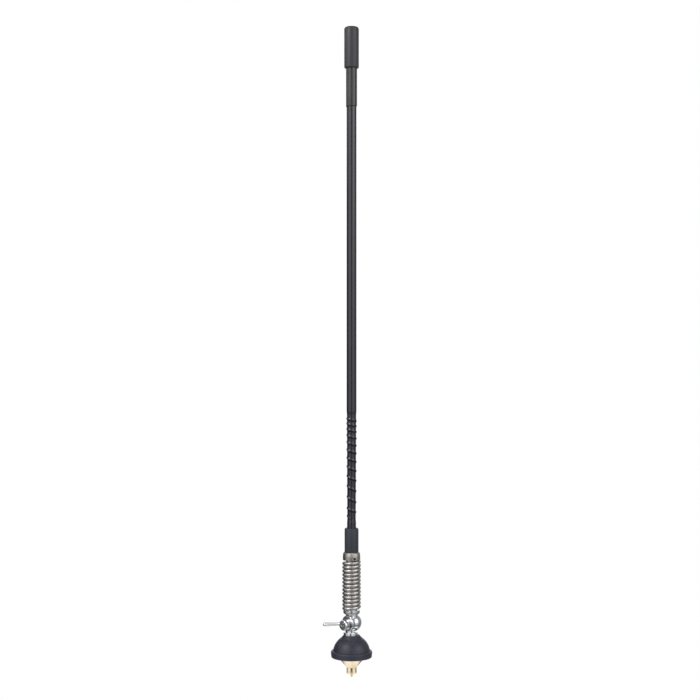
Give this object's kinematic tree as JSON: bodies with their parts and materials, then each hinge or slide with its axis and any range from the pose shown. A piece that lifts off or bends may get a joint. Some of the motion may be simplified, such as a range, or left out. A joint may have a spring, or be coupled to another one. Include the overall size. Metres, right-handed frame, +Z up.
{
  "type": "whip antenna",
  "caption": "Short whip antenna for a vehicle radio: covered whip with a wound foot, coil spring, tilting knuckle with clamp lever, domed base and slotted coaxial plug.",
  "frame": {"origin": "on the mast's axis at the shoulder of the plug's barrel", "axes": "+Z up the mast, Y along the knuckle's bolt with the clamp lever on the -Y side"},
  "size_m": [0.0456, 0.0471, 0.7148],
  "materials": {
    "brass": "turned",
    "insulator": "satin",
    "black_plastic": "satin",
    "rubber": "satin",
    "steel": "plated",
    "chrome": "polished",
    "nickel": "polished",
    "copper": "bare",
    "glass_fibre": "satin",
    "black_shrink": "satin",
    "gloss_shrink": "gloss"
  },
  "bodies": {
    "base": {"plug_body": "brass", "center_contact": "brass", "contact_insulator": "insulator", "base_dome": "black_plastic", "base_gasket": "rubber", "base_washer": "steel", "base_nut": "steel", "lower_knuckle": "chrome", "spring_washer": "steel"},
    "mast_foot": {"upper_knuckle": "chrome", "pivot_bolt": "steel", "spring_bottom_plug": "nickel", "coil_spring": "nickel", "spring_braid": "copper"},
    "whip": {"spring_top_plug": "nickel", "grub_screw": "steel", "whip_ferrule": "brass", "whip_core": "glass_fibre", "radiator_wire": "copper", "whip_jacket": "black_shrink", "whip_collar": "black_plastic", "tip_sleeve": "gloss_shrink", "tip_cap": "rubber"},
    "lever": {"clamp_lever": "chrome"}
  },
  "joints": [
    {"name": "knuckle_tilt", "type": "hinge", "parent": "base", "child": "mast_foot", "pos_m": [0, 0, 0.0484], "axis": [0, 1, 0], "range_deg": [-90, 90]},
    {"name": "spring_bend", "type": "hinge", "parent": "mast_foot", "child": "whip", "pos_m": [0, 0, 0.08975], "axis": [0, 1, 0], "range_deg": [-40, 40], "stiffness_Nm_per_rad": 3, "deforming": ["coil_spring", "spring_braid"]},
    {"name": "lever_turn", "type": "hinge", "parent": "base", "child": "lever", "pos_m": [0, -0.0107, 0.0484], "axis": [0, -1, 0], "range_deg": [0, 270]}
  ]
}
